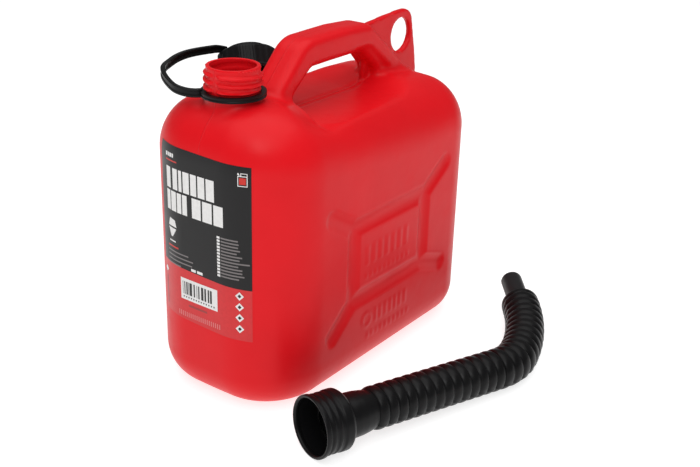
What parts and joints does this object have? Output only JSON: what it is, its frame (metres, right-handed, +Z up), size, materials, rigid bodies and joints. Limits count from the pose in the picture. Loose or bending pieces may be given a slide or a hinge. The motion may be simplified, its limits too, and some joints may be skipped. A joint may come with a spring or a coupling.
{
  "type": "jerry can",
  "caption": "Moulded plastic jerry can with a top carry handle, threaded filler neck, tethered ribbed screw cap, rear spout tab and a loose flexible pouring spout.",
  "frame": {"origin": "middle of the can's footprint, on the surface it stands on", "axes": "+X from the filler neck's end to the spout tab's end, +Y towards the side where the cap hangs, +Z up"},
  "size_m": [0.3021, 0.2663, 0.2585],
  "materials": {
    "can_plastic": "satin",
    "black_plastic": "satin",
    "tube_plastic": "satin",
    "gasket_rubber": "matte",
    "label_film": "satin"
  },
  "bodies": {
    "can": {"can_shell": "can_plastic", "filler_neck": "can_plastic", "carry_handle": "can_plastic", "spout_tab": "can_plastic", "front_label": "label_film"},
    "tether": {"tether_ring": "black_plastic", "tether_strap": "black_plastic", "cap_ring": "black_plastic"},
    "cap": {"screw_cap": "black_plastic", "cap_gasket": "gasket_rubber"},
    "spout": {"spout_cup": "black_plastic", "spout_gasket": "gasket_rubber", "hose_run": "black_plastic", "hose_bend": "black_plastic"},
    "spout_end": {"hose_end": "black_plastic", "outlet_tube": "tube_plastic"}
  },
  "joints": [
    {"name": "tether_swing", "type": "hinge", "parent": "can", "child": "tether", "pos_m": [-0.0956, 0, 0.2315], "axis": [0, 0, 1], "range_deg": [0, 150]},
    {"name": "cap_spin", "type": "hinge", "parent": "tether", "child": "cap", "pos_m": [-0.0047, 0.0679, 0.2332], "axis": [0.3677, 0.464, 0.8059], "continuous": true},
    {"name": "spout_lift", "type": "slide", "parent": "can", "child": "spout", "axis": [0, 0, 1], "range_m": [0, 0.25]},
    {"name": "hose_flex", "type": "hinge", "parent": "spout", "child": "spout_end", "pos_m": [0.03897, -0.16695, 0.01583], "axis": [-0.0114, -0.1526, 0.9882], "range_deg": [-25, 15], "stiffness_Nm_per_rad": 0.3, "deforming": ["hose_bend"]}
  ]
}
